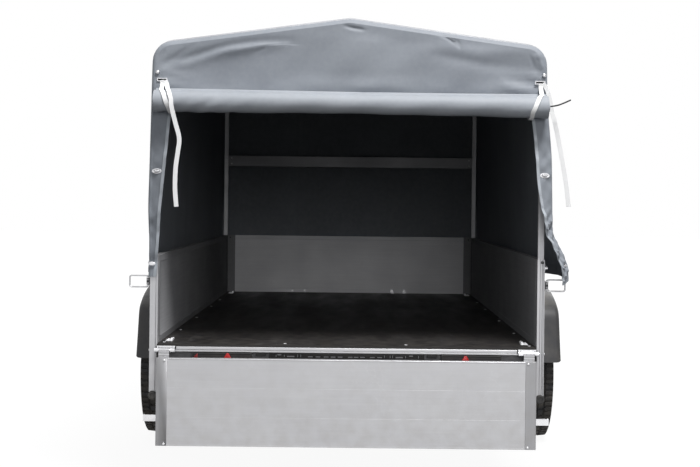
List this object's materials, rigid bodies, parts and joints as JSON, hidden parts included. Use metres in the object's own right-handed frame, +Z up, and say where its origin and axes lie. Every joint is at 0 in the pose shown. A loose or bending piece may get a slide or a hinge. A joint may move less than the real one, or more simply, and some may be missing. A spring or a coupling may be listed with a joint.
{
  "type": "box trailer with tarpaulin cover",
  "caption": "Single-axle utility trailer with aluminium sides, high tarpaulin cover, rolled-up rear flap and a drop-down tailgate.",
  "frame": {"origin": "middle of the trailer's footprint, on the ground it stands on", "axes": "+Z up, +Y towards the coupling, +X to the right when seen from the rear"},
  "size_m": [1.716, 3.7296, 1.6254],
  "materials": {
    "plywood": "film-faced, fine mesh print",
    "aluminium": "anodised, satin",
    "galvanised_steel": "hot-dip galvanised, spangled",
    "zinc_plated_steel": "bright zinc plated",
    "black_plastic": "fine grained",
    "lamp_red": "clear red lens in a black housing",
    "frame_steel": "galvanised square tube",
    "tarpaulin": "coated polyester, semi-gloss outside and near-black inside",
    "webbing": "ribbed white webbing",
    "tyre_rubber": "matt rubber",
    "wheel_silver": "silver lacquer",
    "cast_hub": "painted casting"
  },
  "bodies": {
    "chassis": {"floor_panel": "plywood", "rear_sill": "aluminium", "side_board_left": "aluminium", "side_board_right": "aluminium", "front_board": "aluminium", "rear_posts": "aluminium", "front_posts": "aluminium", "side_rails": "galvanised_steel", "cross_members": "galvanised_steel", "drawbar_left": "galvanised_steel", "drawbar_right": "galvanised_steel", "coupling_head": "zinc_plated_steel", "coupling_handle": "black_plastic", "axle_tube": "galvanised_steel", "axle_brackets": "galvanised_steel", "swing_arms": "galvanised_steel", "mudguard_left": "black_plastic", "mudguard_right": "black_plastic", "light_board": "galvanised_steel", "tail_lamps": "lamp_red", "plate_holder": "black_plastic", "sill_hinges": "zinc_plated_steel", "latch_bases": "zinc_plated_steel", "post_feet": "black_plastic", "rear_hoop": "frame_steel", "front_hoop": "frame_steel", "roof_rails": "frame_steel", "front_cross_rail": "frame_steel", "cover_roof": "tarpaulin", "cover_sides": "tarpaulin", "cover_front": "tarpaulin", "cover_rear": "tarpaulin", "cover_fasteners": "zinc_plated_steel", "flap_roll": "tarpaulin", "roll_straps": "webbing", "flap_cord": "black_plastic", "lashing_rings": "zinc_plated_steel", "jockey_clamp": "galvanised_steel", "jockey_outer_tube": "zinc_plated_steel", "jockey_crank": "zinc_plated_steel"},
    "tailgate": {"tailgate_panel": "aluminium", "tailgate_caps": "aluminium", "tailgate_hinges": "zinc_plated_steel", "tailgate_keepers": "zinc_plated_steel"},
    "latch_left": {"latch_bail_left": "zinc_plated_steel"},
    "latch_right": {"latch_bail_right": "zinc_plated_steel"},
    "wheel_left": {"tyre_left": "tyre_rubber", "rim_left": "wheel_silver", "hub_left": "cast_hub"},
    "wheel_right": {"tyre_right": "tyre_rubber", "rim_right": "wheel_silver", "hub_right": "cast_hub"},
    "jockey_stem": {"jockey_inner_tube": "zinc_plated_steel"},
    "jockey_caster": {"jockey_fork": "zinc_plated_steel"},
    "jockey_roller": {"jockey_wheel": "tyre_rubber"}
  },
  "joints": [
    {"name": "tailgate_hinge", "type": "hinge", "parent": "chassis", "child": "tailgate", "pos_m": [0, -1.7842, 0.49], "axis": [-1, 0, 0], "range_deg": [0, 180]},
    {"name": "latch_left_turn", "type": "hinge", "parent": "chassis", "child": "latch_left", "pos_m": [-0.679, -1.7522, 0.72], "axis": [0, 0, 1], "range_deg": [0, 90]},
    {"name": "latch_right_turn", "type": "hinge", "parent": "chassis", "child": "latch_right", "pos_m": [0.679, -1.7522, 0.72], "axis": [0, 0, -1], "range_deg": [0, 90]},
    {"name": "wheel_left_spin", "type": "hinge", "parent": "chassis", "child": "wheel_left", "pos_m": [-0.7715, -0.5722, 0.289], "axis": [1, 0, 0], "continuous": true},
    {"name": "wheel_right_spin", "type": "hinge", "parent": "chassis", "child": "wheel_right", "pos_m": [0.7715, -0.5722, 0.289], "axis": [1, 0, 0], "continuous": true},
    {"name": "jockey_height", "type": "slide", "parent": "chassis", "child": "jockey_stem", "axis": [0, 0, 1], "range_m": [0, 0.15]},
    {"name": "jockey_swivel", "type": "hinge", "parent": "jockey_stem", "child": "jockey_caster", "pos_m": [0.15186, 1.4528, 0.211], "axis": [0, 0, 1], "continuous": true},
    {"name": "jockey_roll", "type": "hinge", "parent": "jockey_caster", "child": "jockey_roller", "pos_m": [0.15186, 1.4128, 0.1], "axis": [1, 0, 0], "continuous": true}
  ]
}
